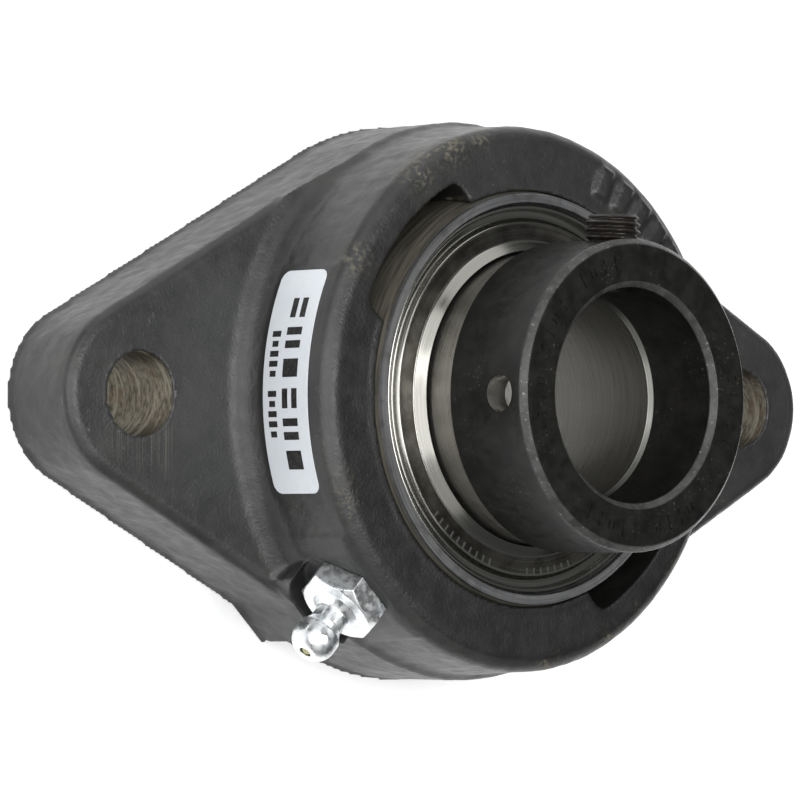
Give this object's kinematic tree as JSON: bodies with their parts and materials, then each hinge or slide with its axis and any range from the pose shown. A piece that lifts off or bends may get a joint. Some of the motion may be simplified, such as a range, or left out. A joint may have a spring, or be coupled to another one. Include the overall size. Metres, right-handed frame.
{
  "type": "flange mount bearing",
  "caption": "Flange bearing unit: a rhombic cast housing carries a self-aligning sealed ball insert with an eccentric locking collar for the shaft.",
  "frame": {"origin": "on the shaft axis, at the mounting face, midway between the two bolt holes", "axes": "+Z along the shaft from the mounting face to the locking collar, +X through the bolt holes, +Y completing a right-handed frame"},
  "size_m": [0.1452, 0.0822, 0.0514],
  "materials": {
    "cast_paint": "satin black paint over sand casting",
    "label_paper": "smooth printed film",
    "zinc_plate": "bright zinc plate",
    "ring_steel": "ground bearing steel",
    "bearing_steel": "polished",
    "spring_steel": "drawn wire",
    "shield_steel": "stamped, plated steel",
    "seal_rubber": "moulded nitrile rubber",
    "cage_nylon": "moulded nylon",
    "black_oxide": "oiled black oxide steel",
    "screw_steel": "black oxide steel"
  },
  "bodies": {
    "housing": {"housing": "cast_paint", "label": "label_paper", "grease_fitting_body": "zinc_plate", "grease_fitting_spring": "spring_steel"},
    "outer_ring": {"outer_ring": "ring_steel", "front_seal_outer_shield": "shield_steel", "front_seal_washer": "seal_rubber", "front_seal_inner_plate": "shield_steel", "rear_seal_outer_shield": "shield_steel", "rear_seal_washer": "seal_rubber", "rear_seal_inner_plate": "shield_steel"},
    "inner_ring": {"inner_ring": "ring_steel"},
    "ball_cage": {"ball_cage": "cage_nylon"},
    "ball_1": {"ball_1": "bearing_steel"},
    "ball_2": {"ball_2": "bearing_steel"},
    "ball_3": {"ball_3": "bearing_steel"},
    "ball_4": {"ball_4": "bearing_steel"},
    "ball_5": {"ball_5": "bearing_steel"},
    "ball_6": {"ball_6": "bearing_steel"},
    "ball_7": {"ball_7": "bearing_steel"},
    "ball_8": {"ball_8": "bearing_steel"},
    "ball_9": {"ball_9": "bearing_steel"},
    "locking_collar": {"locking_collar": "black_oxide"},
    "set_screw": {"set_screw": "screw_steel"},
    "grease_fitting_ball": {"grease_fitting_ball": "bearing_steel"}
  },
  "joints": [
    {"name": "insert_swivel", "type": "hinge", "parent": "housing", "child": "outer_ring", "pos_m": [0, 0, 0.0213], "axis": [1, 0, 0], "range_deg": [-3, 3]},
    {"name": "inner_ring_spin", "type": "hinge", "parent": "outer_ring", "child": "inner_ring", "pos_m": [0, 0, 0.0213], "axis": [0, 0, 1], "continuous": true},
    {"name": "ball_cage_spin", "type": "hinge", "parent": "outer_ring", "child": "ball_cage", "pos_m": [0, 0, 0.0213], "axis": [0, 0, 1], "continuous": true},
    {"name": "ball_1_spin", "type": "hinge", "parent": "ball_cage", "child": "ball_1", "pos_m": [0.023, 0, 0.0213], "axis": [0, 0, 1], "continuous": true},
    {"name": "ball_2_spin", "type": "hinge", "parent": "ball_cage", "child": "ball_2", "pos_m": [0.01762, 0.01478, 0.0213], "axis": [0, 0, 1], "continuous": true},
    {"name": "ball_3_spin", "type": "hinge", "parent": "ball_cage", "child": "ball_3", "pos_m": [0.00399, 0.02265, 0.0213], "axis": [0, 0, 1], "continuous": true},
    {"name": "ball_4_spin", "type": "hinge", "parent": "ball_cage", "child": "ball_4", "pos_m": [-0.0115, 0.01992, 0.0213], "axis": [0, 0, 1], "continuous": true},
    {"name": "ball_5_spin", "type": "hinge", "parent": "ball_cage", "child": "ball_5", "pos_m": [-0.02161, 0.00787, 0.0213], "axis": [0, 0, 1], "continuous": true},
    {"name": "ball_6_spin", "type": "hinge", "parent": "ball_cage", "child": "ball_6", "pos_m": [-0.02161, -0.00787, 0.0213], "axis": [0, 0, 1], "continuous": true},
    {"name": "ball_7_spin", "type": "hinge", "parent": "ball_cage", "child": "ball_7", "pos_m": [-0.0115, -0.01992, 0.0213], "axis": [0, 0, 1], "continuous": true},
    {"name": "ball_8_spin", "type": "hinge", "parent": "ball_cage", "child": "ball_8", "pos_m": [0.00399, -0.02265, 0.0213], "axis": [0, 0, 1], "continuous": true},
    {"name": "ball_9_spin", "type": "hinge", "parent": "ball_cage", "child": "ball_9", "pos_m": [0.01762, -0.01478, 0.0213], "axis": [0, 0, 1], "continuous": true},
    {"name": "collar_turn", "type": "hinge", "parent": "inner_ring", "child": "locking_collar", "pos_m": [0.0008, 0, 0.0435], "axis": [0, 0, 1], "continuous": true},
    {"name": "set_screw_travel", "type": "slide", "parent": "locking_collar", "child": "set_screw", "axis": [0, -1, 0], "range_m": [0, 0.0035]},
    {"name": "grease_fitting_ball_travel", "type": "slide", "parent": "housing", "child": "grease_fitting_ball", "axis": [0.7071, 0.7071, 0], "range_m": [0, 0.0008], "stiffness_N_per_m": 300, "springref_m": -0.001, "deforming": ["grease_fitting_spring"]}
  ],
  "couplings": [
    {"joint": "ball_cage_spin", "follows": "inner_ring_spin", "ratio": 0.39647},
    {"joint": "ball_1_spin", "follows": "inner_ring_spin", "ratio": -2.3112},
    {"joint": "ball_2_spin", "follows": "inner_ring_spin", "ratio": -2.3112},
    {"joint": "ball_3_spin", "follows": "inner_ring_spin", "ratio": -2.3112},
    {"joint": "ball_4_spin", "follows": "inner_ring_spin", "ratio": -2.3112},
    {"joint": "ball_5_spin", "follows": "inner_ring_spin", "ratio": -2.3112},
    {"joint": "ball_6_spin", "follows": "inner_ring_spin", "ratio": -2.3112},
    {"joint": "ball_7_spin", "follows": "inner_ring_spin", "ratio": -2.3112},
    {"joint": "ball_8_spin", "follows": "inner_ring_spin", "ratio": -2.3112},
    {"joint": "ball_9_spin", "follows": "inner_ring_spin", "ratio": -2.3112}
  ]
}
